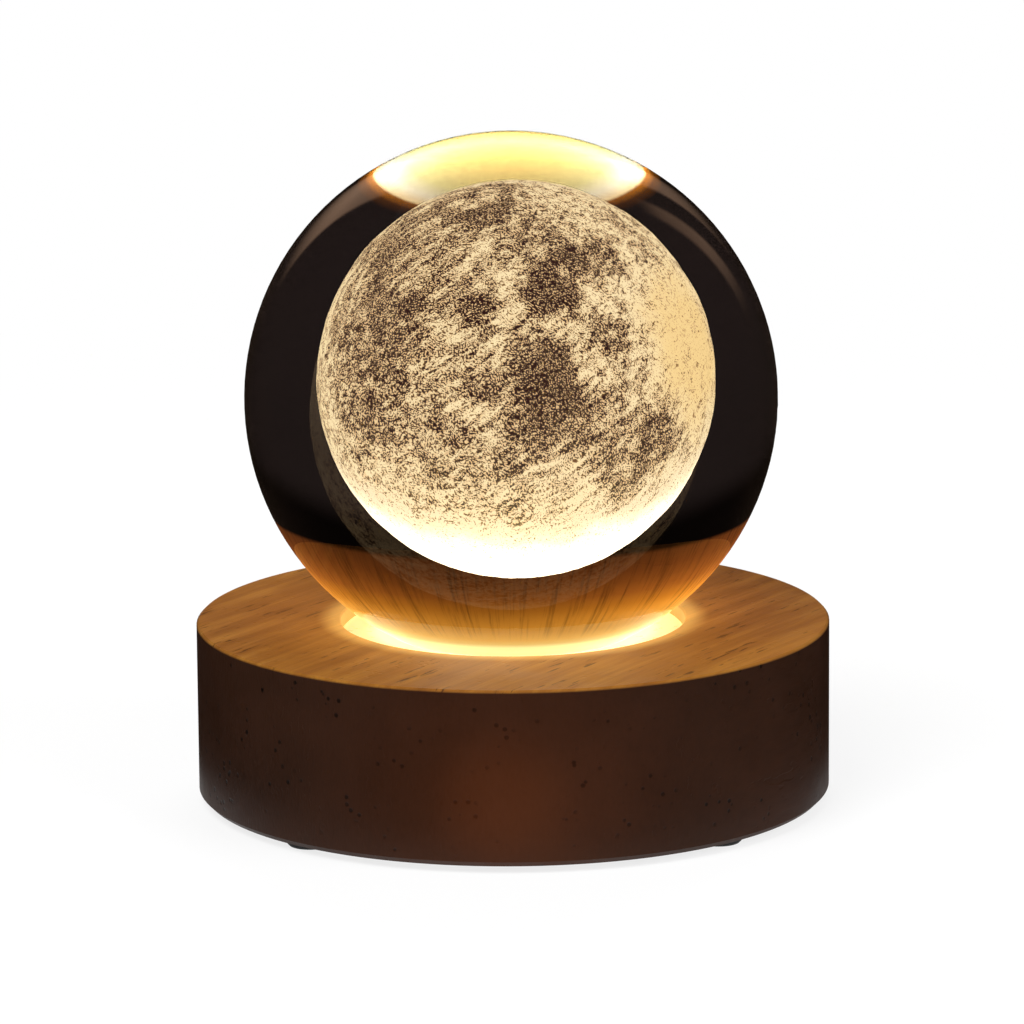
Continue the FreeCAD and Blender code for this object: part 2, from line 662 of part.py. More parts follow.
def screw_profile(head, tip):
    """Half the section of a countersunk screw that points up, from its head to its tip."""
    shank = "(dims.cover_screw_shank / 2)"
    return [
        ("0", head),
        ("(dims.cover_screw_head / 2)", head),
        (shank, f"({head} + dims.cover_screw_cone)"),
        (shank, tip),
        ("0", tip),
    ]


def build_cover_screws():
    for index in range(COVER_SCREW_COUNT):
        turn = COVER_SCREW_FIRST + 360.0 * index / COVER_SCREW_COUNT
        name = f"cover_screw_{index + 1}"
        body = new_body(name, turn, COVER_SCREW_REACH, "dims.stand_off")
        turned(body, screw_profile("0", "dims.cover_screw_length"))


def build_feet():
    for index in range(FOOT_COUNT):
        turn = FOOT_FIRST + 360.0 * index / FOOT_COUNT
        body = new_body(f"rubber_foot_{index + 1}", turn, FOOT_REACH)
        radius = "(dims.foot_diameter / 2)"
        top = "(dims.stand_off + dims.foot_inset)"
        turned(body, [
            ("0", "0"),
            (f"({radius} - dims.foot_chamfer)", "0"),
            (radius, "dims.foot_chamfer"),
            (radius, top),
            ("0", top),
        ])


def bent_path(points, bend):
    """A path of straight runs through points, joined by tangent arcs of one radius."""
    edges = []
    start = points[0]
    for before, corner, after in zip(points, points[1:], points[2:]):
        back = (before - corner).normalize()
        ahead = (after - corner).normalize()
        half = back.getAngle(ahead) / 2
        trim = bend / math.tan(half)
        enter, leave = corner + back * trim, corner + ahead * trim
        middle = corner + (back + ahead).normalize() * (bend / math.sin(half) - bend)
        edges.append(Part.LineSegment(start, enter).toShape())
        edges.append(Part.Arc(enter, middle, leave).toShape())
        start = leave
    edges.append(Part.LineSegment(start, points[-1]).toShape())
    return Part.Wire(edges)


def build_lead(name, points):
    """One insulated lead inside the cavity, swept along its path."""
    path = bent_path(points, value("dims.lead_bend"))
    along = points[1] - points[0]
    ring = Part.Wire(Part.makeCircle(value("dims.lead_diameter") / 2, points[0], along))
    lead = doc.addObject("Part::Feature", name)
    lead.Label = name
    lead.Shape = path.makePipeShell([ring], True, False)
    sub_parts.append(lead)


def build_leads():
    """Socket to switch, switch to light board, and light board back to the socket."""
    turn = math.radians(SWITCH_TURN)
    outward = FreeCAD.Vector(math.sin(turn), math.cos(turn), 0)
    sideways = FreeCAD.Vector(math.cos(turn), -math.sin(turn), 0)
    level = FreeCAD.Vector(0, 0, value("dims.switch_height"))
    tail = outward * value(f"{BARREL_BACK} - dims.terminal_length - dims.solder_gap") + level
    near, far = (sideways * (side * value("dims.terminal_spacing / 2")) for side in (-1, 1))

    # A lead lies flat on the socket board, its end soldered to a pad near the board's inner edge.
    pad_x = value("dims.socket_board_width / 2 - 2 * dims.lead_diameter")
    board_edge = f"{BAY_REACH} - dims.slot_gap - dims.socket_board_length"
    pad_y = value(f"{board_edge} + dims.lead_diameter")
    pad_level = value(f"{SOCKET_BOARD_TOP} + dims.lead_diameter / 2 + dims.lead_lift")
    board_under = value(BORE_FLOOR)
    throat = value("dims.web_hole_diameter / 4")
    turning_back = tail - outward * value("dims.lead_loop")

    build_lead("lead_supply", [FreeCAD.Vector(pad_x, pad_y, pad_level), turning_back, tail + near])
    build_lead("lead_switched", [
        tail + far,
        FreeCAD.Vector(throat, 0, level.z),
        FreeCAD.Vector(throat, 0, board_under),
    ])
    build_lead("lead_return", [
        FreeCAD.Vector(-throat, 0, board_under),
        FreeCAD.Vector(-throat, 0, pad_level),
        FreeCAD.Vector(-pad_x, pad_y, pad_level),
    ])


def check_document():
    """Stop on any failed object or unsound sub-part."""
    for item in doc.Objects:
        if "Invalid" in item.State or "Error" in item.State:
            raise RuntimeError(f"{item.Name} failed: {item.State}")
    for item in sub_parts:
        if item.Shape.isNull() or not item.Shape.isValid() or item.Shape.Volume <= 0:
            raise RuntimeError(f"{item.Label} has no sound shape")


def write_parts():
    os.makedirs("parts", exist_ok=True)
    for item in sub_parts:
        item.Shape.exportStep(os.path.join("parts", f"{item.Label}.step"))
        box = item.Shape.BoundBox
        print(f"{item.Label}: {item.Shape.Volume:.2f} mm3, z {box.ZMin:.2f} to {box.ZMax:.2f}")


build_wood_base()
build_seat_ring()
build_crystal_ball()
build_led_board()
build_light_sources()
build_resistors()
build_light_ring()
build_diffuser_disc()
build_socket()
build_switch()
build_bottom_cover()
build_cover_screws()
build_feet()
build_leads()
doc.recompute()
check_document()
write_parts()
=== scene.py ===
"""Looks of the moon lamp: materials, the engraved moon, the studio and the camera.

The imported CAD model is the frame. Everything is in metres, in its frame.
"""

import math

import bmesh
import bpy
from mathutils import Euler, Matrix, Vector, noise


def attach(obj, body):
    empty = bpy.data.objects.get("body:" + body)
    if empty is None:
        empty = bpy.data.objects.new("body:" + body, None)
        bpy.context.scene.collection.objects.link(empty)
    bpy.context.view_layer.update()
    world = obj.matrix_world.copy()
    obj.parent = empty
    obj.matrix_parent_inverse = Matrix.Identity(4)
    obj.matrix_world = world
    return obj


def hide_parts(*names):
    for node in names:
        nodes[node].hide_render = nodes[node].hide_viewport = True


MM = 0.001
WHITE = (1.0, 1.0, 1.0, 1.0)

# The photograph's camera.
CAMERA_DISTANCE = 955 * MM
CAMERA_ELEVATION = math.radians(12.08)
CAMERA_TARGET = Vector((0, 0, 43.39 * MM))
CAMERA_ROLL = math.radians(-0.45)
SENSOR_SIDE = 36.0
LENS = 223.07

# The crystal ball and the moon that is engraved in it.
BALL_RADIUS = 40 * MM
GLASS_IOR = 1.5
MOON_RADIUS = 19.9 * MM
MOON_CENTRE = Vector((0.55 * MM, 0, 62.9 * MM))
MOON_RELIEF = 0.10 * MM
MOON_COVER = 0.14 * MM  # keeps the relief's lowest points outside the hollow in the ball

# The moon's disc in the photograph: its middle, its radius, and two places on it.
MOON_IN_PHOTO = (517.5, 377.5)
MOON_PIXELS = 200.0
BLUSH_IN_PHOTO = (694, 345)
CRATER_IN_PHOTO = (516, 508)

# Dark seas of the moon: pixel, size as a part of the moon's radius, and depth.
SEAS = (
    (492, 210, 0.15, 0.55),
    (462, 213, 0.12, 0.35),
    (553, 285, 0.17, 0.75),
    (570, 262, 0.14, 0.55),
    (600, 252, 0.15, 0.45),
    (478, 305, 0.14, 0.40),
    (540, 372, 0.22, 0.68),
    (552, 400, 0.20, 0.78),
    (530, 425, 0.14, 0.60),
    (482, 372, 0.17, 0.42),
    (385, 330, 0.40, 0.44),
    (372, 390, 0.30, 0.42),
    (430, 270, 0.30, 0.34),
    (400, 235, 0.24, 0.34),
    (470, 200, 0.30, 0.30),
    (425, 330, 0.26, 0.24),
    (655, 435, 0.18, 0.42),
    (630, 470, 0.16, 0.40),
    (600, 425, 0.22, 0.34),
    (440, 440, 0.24, 0.24),
    (505, 455, 0.18, 0.16),
    (612, 335, 0.13, 0.40),
    (530, 235, 0.24, 0.34),
    (640, 240, 0.12, 0.22),
)

# The way that the lamp's light comes into the moon's painted glow, and how bright that painted
# glow is.
LIT_FROM = (0.03, 0.36, -0.932)
MOON_LIGHT = 24.0  # seen through the dark glass

# The amber band at the ball's foot, a painted reflection of the lit wood: its heights, where it
# is dimmest from left to right, how far from there it has gained BAND_GAIN, and its light.
BAND_LOW = 25.0 * MM
BAND_HIGH = 45.0 * MM
BAND_MIDDLE = -4.0 * MM
BAND_REACH = 30.0 * MM
BAND_BASE = 1.08
BAND_GAIN = 1.8
BAND_LIGHT = 0.8

# The lamp's painted glow at the ball's foot, for light that is thrown back inside the ball.
FOOT_LOW = 20.0 * MM
FOOT_HIGH = 30.0 * MM
FOOT_LIGHT = 150.0  # so strong because the dark glass takes most of it away

# The wooden base. Its grain runs this way round the upright axis.
WOOD_TOP = 27.3 * MM
RECESS_RADIUS = 26 * MM
GRAIN_TURN = math.radians(58)
# The middle of the painted red glow on the base's front.
WOOD_FRONT = (-2 * MM, -47.7 * MM, 11 * MM)

# The studio's floor and its lights: name, place, and power in watts.
FLOOR_HALF_SIDE = 3.0
LIGHT_SIZE = 0.8
LIGHTS = (
    ("key", (-0.45, -0.60, 1.05), 15.0),
    ("fill", (0.8, -0.5, 0.7), 7.0),
    ("back", (0.1, 0.9, 0.9), 7.0),
)
LIGHTS_AIM = Vector((0, 0, 40 * MM))

# The dark cards round the set, which photographers call flags: an annulus just above
# the floor, and a wall at its outer edge.
CARD_SIDES = 64
CARD_NEAR = 0.056
CARD_FAR = 0.32
CARD_LIFT = 0.0002
CARD_TOP = 0.45
CARD_EDGE = 0.008

# Paler strips on the wall, behind the lamp: from x, to x, and level.
CARD_STRIPS = (
    (-0.188, -0.085, 0.80),
    (0.085, 0.150, 0.50),
    (0.205, 0.238, 0.60),
)


def set_input(material, socket, source):
    """Links a socket to another one's output, or gives it a plain value."""
    if isinstance(source, bpy.types.NodeSocket):
        material.node_tree.links.new(source, socket)
    else:
        socket.default_value = source


def add_node(material, kind, inputs=None, **settings):
    """Adds a shader node with its settings, and fills or links its inputs."""
    made = material.node_tree.nodes.new("ShaderNode" + kind)
    for name, setting in settings.items():
        setattr(made, name, setting)
    for name, source in (inputs or {}).items():
        set_input(material, made.inputs[name], source)
    return made


def maths(material, operation, first, second=0.0, clamp=False):
    """The result of one sum on two numbers or sockets."""
    made = add_node(material, "Math", operation=operation, use_clamp=clamp)
    set_input(material, made.inputs[0], first)
    set_input(material, made.inputs[1], second)
    return made.outputs[0]


def blended(material, first, share, second, second_share):
    """Two numbers, each times its share, added up."""
    return maths(material, "ADD", maths(material, "MULTIPLY", first, share),
                 maths(material, "MULTIPLY", second, second_share))


def vector_maths(material, operation, first, second=None, scale=None):
    """The result of one sum on vectors."""
    made = add_node(material, "VectorMath", operation=operation)
    set_input(material, made.inputs[0], first)
    if second is not None:
        set_input(material, made.inputs[1], second)
    if scale is not None:
        set_input(material, made.inputs["Scale"], scale)
    if operation in ("DISTANCE", "LENGTH", "DOT_PRODUCT"):
        return made.outputs["Value"]
    return made.outputs["Vector"]


def mixed(material, factor, first, second, blend="MIX"):
    """Two colours mixed by a factor. Inputs 6 and 7 and output 2 are the node's colours."""
    made = add_node(material, "Mix", data_type="RGBA", blend_type=blend)
    set_input(material, made.inputs[0], factor)
    set_input(material, made.inputs[6], first)
    set_input(material, made.inputs[7], second)
    return made.outputs[2]


def remapped(material, source, low, high, to_low=0.0, to_high=1.0, smooth=True):
    """A value carried from one range to another, held at its ends."""
    kind = "SMOOTHSTEP" if smooth else "LINEAR"
    made = add_node(material, "MapRange", interpolation_type=kind)
    for name, number in (
        ("Value", source),
        ("From Min", low),
        ("From Max", high),
        ("To Min", to_low),
        ("To Max", to_high),
    ):
        set_input(material, made.inputs[name], number)
    return made.outputs["Result"]


def graded(material, source, stops):
    """A colour ramp through (position, colour) stops."""
    made = add_node(material, "ValToRGB", {"Fac": source})
    elements = made.color_ramp.elements
    while len(elements) < len(stops):
        elements.new(0.5)
    for element, (position, rgb) in zip(elements, stops):
        element.position = position
        element.color = solid(rgb)
    return made.outputs["Color"]


def noised(material, place, scale=1.0, detail=4.0, roughness=0.5, distortion=0.0):
    """Fractal noise between 0 and 1."""
    inputs = {
        "Vector": place,
        "Scale": scale,
        "Detail": detail,
        "Roughness": roughness,
        "Distortion": distortion,
    }
    return add_node(material, "TexNoise", inputs).outputs["Fac"]


def stretched(material, place, scales, turn=(0.0, 0.0, 0.0)):
    """Texture coordinates turned back by an angle and then stretched."""
    inputs = {"Vector": place, "Rotation": turn}
    turned = add_node(material, "Mapping", inputs, vector_type="TEXTURE")
    inputs = {"Vector": turned.outputs["Vector"], "Scale": scales}
    return add_node(material, "Mapping", inputs).outputs["Vector"]


def shifted(material, place, shift, amount):
    """A place moved by an amount of a shift."""
    return vector_maths(material, "ADD", place,
                        vector_maths(material, "SCALE", shift, scale=amount))


def distance_from_axis(material, place):
    """How far a point is from the vertical axis, and its height."""
    parts = add_node(material, "SeparateXYZ", {"Vector": place})
    flat = add_node(material, "CombineXYZ", {"X": parts.outputs["X"], "Y": parts.outputs["Y"]})
    return vector_maths(material, "LENGTH", flat.outputs[0]), parts.outputs["Z"]


def object_place(material):
    """The point in the object's own frame, in metres."""
    return add_node(material, "TexCoord").outputs["Object"]


def bumped(material, height, strength, distance):
    """A normal bent by a height."""
    inputs = {"Height": height, "Strength": strength, "Distance": distance}
    return add_node(material, "Bump", inputs).outputs["Normal"]


def empty_material(name):
    """A material whose node tree is still empty."""
    material = bpy.data.materials.new(name)
    material.use_nodes = True
    material.node_tree.nodes.clear()
    return material


def new_material(name):
    """A material with a Principled shader, and that shader."""
    material = empty_material(name)
    shader = add_node(material, "BsdfPrincipled")
    add_node(material, "OutputMaterial", {"Surface": shader.outputs[0]})
    return material, shader


def colour(red, green, blue):
    """A linear colour from the 0 to 255 numbers of a picture."""
    def linear(number):
        part = number / 255
        return part / 12.92 if part <= 0.04045 else ((part + 0.055) / 1.055) ** 2.4
    return linear(red), linear(green), linear(blue)


def solid(rgb):
    """A colour with full alpha."""
    return (*rgb, 1.0)


def glass_material():
    """Crystal darkened by a tint that is painted shade, whose foot carries a painted reflection
    of the lit wood's amber glow.
    """
    material, shader = new_material("painted_dark_crystal")
    # Painted shade: this dark tint stands for the dark room seen through clear crystal.
    shader.inputs["Base Color"].default_value = (0.0130, 0.0088, 0.0080, 1.0)
    shader.inputs["Transmission Weight"].default_value = 1.0
    shader.inputs["IOR"].default_value = GLASS_IOR
    shader.inputs["Roughness"].default_value = 0.0
    shader.inputs["Specular Tint"].default_value = (0.45, 0.32, 0.22, 1.0)
    place = object_place(material)

    # Painted light: light that is thrown back inside the ball finds a painted glow of the lamp at
    # its foot, and the rest sees the painted reflection of the lit wood.
    thrown_back = maths(material, "MULTIPLY",
                        add_node(material, "NewGeometry").outputs["Backfacing"],
                        add_node(material, "LightPath").outputs["Is Glossy Ray"])
    painted_glow = mixed(material, thrown_back, painted_wood_reflection(material, place), painted_foot_glow(material, place))
    set_input(material, shader.inputs["Emission Color"], painted_glow)
    shader.inputs["Emission Strength"].default_value = BAND_LIGHT
    return material


def painted_wood_reflection(material, place):
    """A painted reflection of the lit wood on the ball's foot, with its grain fanned out in
    streaks.
    """
    parts = add_node(material, "SeparateXYZ", {"Vector": place})
    height = remapped(material, parts.outputs["Z"], BAND_LOW, BAND_HIGH, smooth=False)
    band = graded(material, height, (
        (0.02, colour(238, 205, 115)),
        (0.08, colour(240, 228, 148)),
        (0.13, colour(240, 228, 145)),
        (0.165, colour(222, 172, 80)),
        (0.21, colour(222, 154, 52)),
        (0.29, colour(200, 132, 40)),
        (0.40, colour(176, 110, 30)),
        (0.50, colour(148, 86, 20)),
        (0.60, colour(118, 62, 16)),
        (0.70, colour(94, 47, 12)),
        (0.80, colour(76, 36, 9)),
        (0.92, colour(60, 28, 7)),
        (0.955, colour(0, 0, 0)),
    ))
    flat = add_node(material, "CombineXYZ", {"X": parts.outputs["X"], "Y": parts.outputs["Y"]})
    around = vector_maths(material, "NORMALIZE", flat.outputs[0])
    way = add_node(material, "SeparateXYZ", {"Vector": around})
    spoke = add_node(material, "CombineXYZ", {
        "X": way.outputs["X"], "Y": way.outputs["Y"], "Z": parts.outputs["Z"],
    })
    fanned = vector_maths(material, "MULTIPLY", spoke.outputs[0], (38.0, 38.0, 70.0))
    streaks = noised(material, fanned, detail=5.0, roughness=0.7)
    grain = remapped(material, streaks, 0.46, 0.68, 1.0, 0.52)
    grain = mixed(material, remapped(material, height, 0.18, 0.34), WHITE, grain)
    band = mixed(material, 1.0, band, grain, "MULTIPLY")

    # The painted reflection is brighter towards its left and right ends.
    aside = maths(material, "SUBTRACT", parts.outputs["X"], BAND_MIDDLE)
    aside = maths(material, "DIVIDE", aside, BAND_REACH)
    gain = maths(material, "MULTIPLY", maths(material, "POWER", aside, 2.0), BAND_GAIN)
    gain = maths(material, "MULTIPLY", gain, remapped(material, height, 0.25, 0.45))
    return vector_maths(material, "SCALE", band, scale=maths(material, "ADD", gain, BAND_BASE))


def painted_foot_glow(material, place):
    """A painted glow of the lamp on the ball's foot: gold in the middle, white near its edge."""
    parts = add_node(material, "SeparateXYZ", {"Vector": place})
    height = remapped(material, parts.outputs["Z"], FOOT_LOW, FOOT_HIGH, smooth=False)
    foot = graded(material, height, (
        (0.00, (1.60, 1.05, 0.24)),
        (0.16, (1.45, 1.12, 0.32)),
        (0.34, (1.15, 1.12, 0.40)),
        (0.52, (0.95, 1.05, 0.48)),
        (0.66, (1.10, 1.25, 0.95)),
        (0.76, (1.05, 1.00, 0.55)),
        (0.79, (0.30, 0.12, 0.01)),
        (0.86, (0.05, 0.018, 0.001)),
        (0.95, (0.0, 0.0, 0.0)),
    ))
    return vector_maths(material, "SCALE", foot, scale=FOOT_LIGHT)


def smooth_seam(ball):
    """Joins the ball's seam, whose two sides have different normals, so it doesn't show."""
    weld = ball.modifiers.new("weld", "WELD")
    weld.merge_threshold = 0.001 * MM
    ball.modifiers.new("normals", "WEIGHTED_NORMAL")


def seen_direction(x, y):
    """The direction on the moon, from its middle, that the camera sees at a pixel.

    The ball works as a lens, so the edge of the moon's disc is past its side.
    """
    across = (x - MOON_IN_PHOTO[0]) / MOON_PIXELS
    up = (MOON_IN_PHOTO[1] - y) / MOON_PIXELS
    reach = min(math.hypot(across, up), 1.0)
    out = reach * MOON_RADIUS / BALL_RADIUS
    bend = math.asin(min(GLASS_IOR * out, 1.0)) - math.asin(out)
    angle = math.asin(reach) + bend
    turn = math.atan2(up, across)
    sideways = Vector((1, 0, 0))
    towards = Vector((0, -math.cos(CAMERA_ELEVATION), math.sin(CAMERA_ELEVATION)))
    upward = Vector((0, math.sin(CAMERA_ELEVATION), math.cos(CAMERA_ELEVATION)))
    flat = sideways * math.cos(turn) + upward * math.sin(turn)
    return towards * math.cos(angle) + flat * math.sin(angle)


def moon_material():
    """Pale engraving dots in the glass, whose glow from the lamp below is painted light."""
    material, shader = new_material("engraved_moon")
    place = vector_maths(material, "NORMALIZE", object_place(material))
    swirl = add_node(material, "TexNoise", {
        "Vector": place, "Scale": 4.5, "Detail": 8.0, "Roughness": 0.7,
    })
    shift = vector_maths(material, "SUBTRACT", swirl.outputs["Color"], (0.5, 0.5, 0.5))
    warped = shifted(material, place, shift, 0.45)
    low = vector_maths(material, "DOT_PRODUCT", shifted(material, place, shift, 0.30), LIT_FROM)
    painted_glow = remapped(material, low, 0.20, 0.76)
    blush = vector_maths(material, "DISTANCE", warped, tuple(seen_direction(*BLUSH_IN_PHOTO)))
    blush = remapped(material, blush, 0.62, 0.22)
    tone = moon_tone(material, place, warped, painted_glow, blush)

    pale = mixed(material, painted_glow, solid(colour(247, 243, 194)), solid(colour(255, 255, 225)))
    pale = mixed(material, blush, pale, solid(colour(240, 224, 158)))
    pale = mixed(material, remapped(material, tone, 0.12, 0.80), pale,
                 solid(colour(226, 203, 150)))
    deep = mixed(material, remapped(material, tone, 0.10, 0.70), solid(colour(142, 108, 62)),
                 solid(colour(43, 22, 21)))
    shade = mixed(material, moon_specks(material, place, shift, tone), pale, deep)

    # Painted light: where the lamp's light comes in, the dots' painted glow is at nearly full
    # strength, and elsewhere it is painted dimmer.
    painted_dim = mixed(material, 1.0, shade, (0.40, 0.40, 0.40, 1.0), "MULTIPLY")
    painted_bright = mixed(material, 1.0, shade, (0.96, 0.96, 0.96, 1.0), "MULTIPLY")
    shade = mixed(material, remapped(material, low, 0.42, 0.80), painted_dim, painted_bright)
    set_input(material, shader.inputs["Emission Color"], shade)
    shader.inputs["Emission Strength"].default_value = MOON_LIGHT
    shader.inputs["Base Color"].default_value = (0.04, 0.033, 0.025, 1.0)
    shader.inputs["Roughness"].default_value = 0.8
    return material


def moon_tone(material, place, warped, painted_glow, blush):
    """How dark the moon is: seas, clouds, slanting smears and a crater's rims, made lighter by
    the painted glow and the blush.
    """
    dark = 0.0
    for x, y, size, depth in SEAS:
        away = vector_maths(material, "DISTANCE", warped, tuple(seen_direction(x, y)))
        sea = remapped(material, away, size * 1.7, size * 0.5, 0.0, depth)
        dark = maths(material, "MAXIMUM", dark, sea)
    clouds = noised(material, place, scale=6.0, detail=9.0, roughness=0.74, distortion=0.5)
    slanted = stretched(material, place, (5.0, 14.0, 22.0), (0.0, math.radians(-35), 0.0))
    smears = noised(material, slanted, detail=7.0, roughness=0.72, distortion=0.4)
    tone = maths(material, "MULTIPLY", dark, remapped(material, clouds, 0.36, 0.60, 0.65, 1.0))
    tone = maths(material, "ADD", tone, remapped(material, smears, 0.34, 0.66, 0.0, 0.62))
    tone = maths(material, "ADD", tone, remapped(material, clouds, 0.38, 0.64, -0.04, 0.16))
    # Painted light: the moon is lighter where the lamp's light comes in.
    tone = maths(material, "SUBTRACT", tone, maths(material, "MULTIPLY", painted_glow, 0.70))
    tone = maths(material, "SUBTRACT", tone, maths(material, "MULTIPLY", blush, 0.30))
    crater = vector_maths(material, "DISTANCE", place, tuple(seen_direction(*CRATER_IN_PHOTO)))
    for reach in (0.05, 0.10):
        off = maths(material, "ABSOLUTE", maths(material, "SUBTRACT", crater, reach))
        tone = maths(material, "ADD", tone, remapped(material, off, 0.016, 0.002, 0.0, 0.34))
    return maths(material, "MINIMUM", maths(material, "MAXIMUM", tone, 0.0), 0.92)


def moon_specks(material, place, shift, tone):
    """The engraving's dots, in rows that wander like a fingerprint: 0 pale, 1 dark."""
    waves = add_node(material, "TexWave", {
        "Vector": place, "Scale": 26.0, "Distortion": 34.0, "Detail": 2.0,
        "Detail Scale": 0.28, "Detail Roughness": 0.6,
    }, bands_direction="DIAGONAL")
    cells = add_node(material, "TexVoronoi", {
        "Vector": shifted(material, place, shift, 0.10), "Scale": 74.0, "Randomness": 0.70,
    })
    dots = remapped(material, cells.outputs["Distance"], 0.12, 0.72, smooth=False)
    grit = noised(material, place, scale=210.0, detail=2.0, roughness=0.6)
    engraved = blended(material, waves.outputs["Fac"], 0.24, dots, 0.58)
    engraved = maths(material, "ADD", engraved, maths(material, "MULTIPLY", grit, 0.18))
    edge = maths(material, "SUBTRACT", 0.85, maths(material, "MULTIPLY", tone, 0.48))
    return remapped(material, maths(material, "SUBTRACT", engraved, edge), -0.09, 0.09)


def make_moon():
    """The engraved moon: a ball of fine relief that covers the hollow in the crystal."""
    mesh = bpy.data.meshes.new("engraved_moon")
    shape = bmesh.new()
    bmesh.ops.create_icosphere(shape, subdivisions=6, radius=1.0)
    for vertex in shape.verts:
        way = vertex.co.normalized()
        relief = noise.fractal(way * 4.0, 0.6, 2.1, 6)
        lift = MOON_COVER + MOON_RELIEF * min(max(relief, -1.0), 1.0)
        vertex.co = way * (MOON_RADIUS + lift)
    shape.to_mesh(mesh)
    shape.free()
    mesh.shade_smooth()
    moon = bpy.data.objects.new("engraved_moon", mesh)
    bpy.context.scene.collection.objects.link(moon)
    moon.location = MOON_CENTRE
    moon.visible_diffuse = False
    mesh.materials.append(moon_material())
    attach(moon, "ball")
    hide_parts("engraved_moon")


def along_grain(material, place, scales, detail, roughness, distortion=0.0):
    """Noise drawn out along the wood's grain."""
    drawn = stretched(material, place, scales, (0.0, 0.0, GRAIN_TURN))
    return noised(material, drawn, detail=detail, roughness=roughness, distortion=distortion)


def wood_material():
    """Dark stained wood: amber top with short pores, painted lighter as lit by the lamp, and
    near-black side, dark stain painted darker as in shade.
    """
    material, shader = new_material("dark_wood")
    place = object_place(material)
    radius, height = distance_from_axis(material, place)
    fibres = along_grain(material, place, (130.0, 2600.0, 900.0), 3.0, 0.6)
    clouds = noised(material, place, scale=38.0, roughness=0.6)
    top, pore = wood_top(material, place, fibres, clouds)
    side, pit = wood_side(material, place, fibres, clouds)
    # Painted light: the top and the recess's wall take the lit amber colour, the side the shaded
    # dark one.
    is_top = remapped(material, height, WOOD_TOP - 0.5 * MM, WOOD_TOP - 0.15 * MM)
    inside = remapped(material, radius, RECESS_RADIUS + 0.6 * MM, RECESS_RADIUS + 0.3 * MM)
    painted_lit_area = maths(material, "MAXIMUM", is_top, inside)
    set_input(material, shader.inputs["Base Color"], mixed(material, painted_lit_area, side, top))
    set_input(material, shader.inputs["Roughness"],
              remapped(material, clouds, 0.3, 0.7, 0.50, 0.66))
    shader.inputs["Specular IOR Level"].default_value = 0.22
    relief = maths(material, "SUBTRACT", fibres, maths(material, "MULTIPLY", pore, 1.2))
    relief = maths(material, "SUBTRACT", relief, maths(material, "MULTIPLY", pit, 1.5))
    set_input(material, shader.inputs["Normal"], bumped(material, relief, 0.35, 0.15 * MM))

    # Painted light: a warm glow of the lamp on the wood round the recess.
    ring = painted_ring_glow(material, radius, is_top, inside)
    painted_ring_light = mixed(material, 0.5, top, (1.0, 0.62, 0.16, 1.0))
    painted_ring_light = mixed(material, 1.0, painted_ring_light, ring, "MULTIPLY")
    # Painted light: a faint red glow on the middle of the base's front.
    red = mixed(material, 1.0, (1.0, 0.20, 0.015, 1.0), painted_front_glow(material, place, painted_lit_area),
                "MULTIPLY")
    set_input(material, shader.inputs["Emission Color"], mixed(material, 1.0, painted_ring_light, red, "ADD"))
    shader.inputs["Emission Strength"].default_value = 1.0
    return material


def wood_top(material, place, fibres, clouds):
    """The amber top's colour, painted lighter as lit by the lamp, and where its pores are."""
    grain = along_grain(material, place, (22.0, 420.0, 160.0), 6.0, 0.62, 0.4)
    top = graded(material, blended(material, grain, 0.6, clouds, 0.4), (
        (0.32, colour(112, 66, 20)),
        (0.50, colour(136, 86, 29)),
        (0.66, colour(160, 110, 42)),
    ))
    top = mixed(material, remapped(material, fibres, 0.35, 0.75, 0.0, 0.30), top,
                solid(colour(120, 72, 30)))
    pores = along_grain(material, place, (150.0, 1500.0, 500.0), 2.0, 0.5)
    patchy = noised(material, place, scale=110.0, detail=2.0)
    pore = maths(material, "MULTIPLY", remapped(material, pores, 0.63, 0.67),
                 remapped(material, patchy, 0.47, 0.56))
    top = mixed(material, maths(material, "MULTIPLY", pore, 0.8), top, solid(colour(66, 32, 10)))
    return top, pore


def wood_side(material, place, fibres, clouds):
    """The dark side's colour, dark stain painted darker as in shade, and where its pits are."""
    side = graded(material, blended(material, clouds, 0.7, fibres, 0.3), (
        (0.34, colour(38, 18, 6)),
        (0.66, colour(51, 25, 9)),
    ))
    pits = add_node(material, "TexVoronoi", {"Vector": place, "Scale": 620.0}).outputs["Distance"]
    patchy = noised(material, place, scale=170.0, detail=2.0)
    pit = maths(material, "MULTIPLY", remapped(material, pits, 0.26, 0.16),
                remapped(material, patchy, 0.50, 0.62))
    side = mixed(material, maths(material, "MULTIPLY", pit, 0.9), side, solid(colour(10, 6, 4)))
    return side, pit


def painted_ring_glow(material, radius, is_top, inside):
    """Painted light: the lamp's light painted as a glow on the wood round the recess and on the
    recess's wall.
    """
    near = remapped(material, radius, RECESS_RADIUS + 4 * MM, RECESS_RADIUS)
    wide = remapped(material, radius, RECESS_RADIUS + 15 * MM, RECESS_RADIUS)
    spread = blended(material, near, 0.75, wide, 0.12)
    spread = maths(material, "MULTIPLY", spread, is_top)
    wall = maths(material, "MULTIPLY", inside, maths(material, "SUBTRACT", 1.0, is_top))
    return maths(material, "ADD", spread, maths(material, "MULTIPLY", wall, 1.1))


def painted_front_glow(material, place, painted_lit_area):
    """Painted light: a faint red glow painted in the middle of the base's front."""
    front = vector_maths(material, "DISTANCE", place, WOOD_FRONT)
    painted_glow = maths(material, "ADD", remapped(material, front, 34 * MM, 4 * MM, 0.0, 0.020),
                 remapped(material, front, 13 * MM, 2 * MM, 0.0, 0.020))
    return maths(material, "MULTIPLY", painted_glow, maths(material, "SUBTRACT", 1.0, painted_lit_area))


